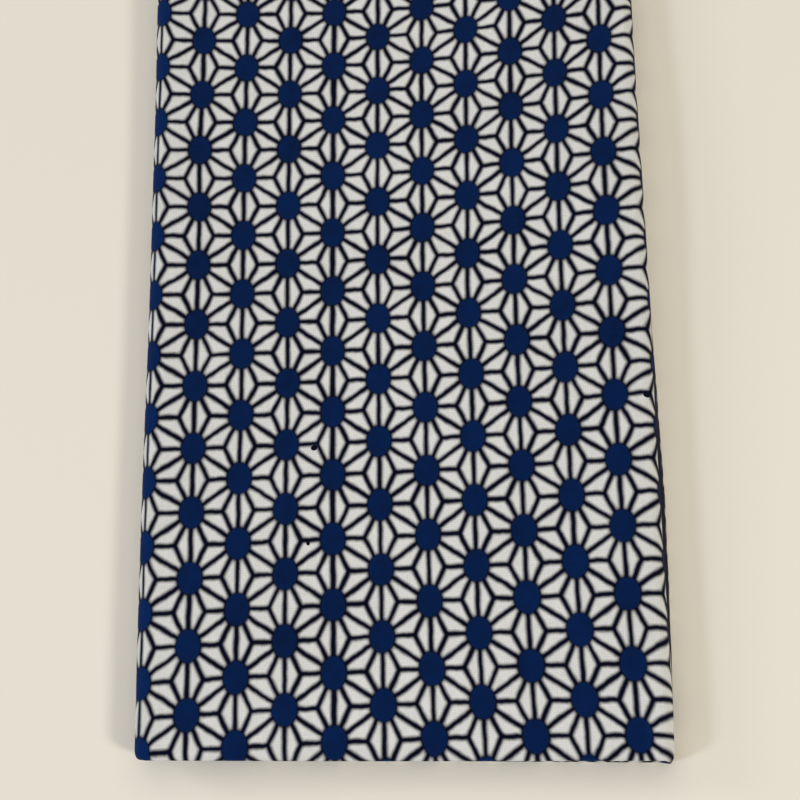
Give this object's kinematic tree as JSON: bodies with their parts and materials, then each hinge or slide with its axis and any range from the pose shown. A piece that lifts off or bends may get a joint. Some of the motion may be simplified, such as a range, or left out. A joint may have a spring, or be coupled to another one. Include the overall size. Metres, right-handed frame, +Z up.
{
  "type": "folded tenugui towel",
  "caption": "Printed cotton tenugui hand towel with a small hemp-leaf pattern, folded flat into a slim rectangle that rests on a surface.",
  "frame": {"origin": "middle of the folded towel's outline, on the surface that it rests on", "axes": "+Z up off the surface, +Y along the towel from the front fold to the open far end, +X across it to the right"},
  "size_m": [0.1134, 0.2298, 0.0097],
  "materials": {
    "printed_cotton": "matt plain-weave cotton, off-white with a small hemp-leaf print in navy"
  },
  "bodies": {
    "root": {"towel": "printed_cotton"}
  },
  "joints": []
}
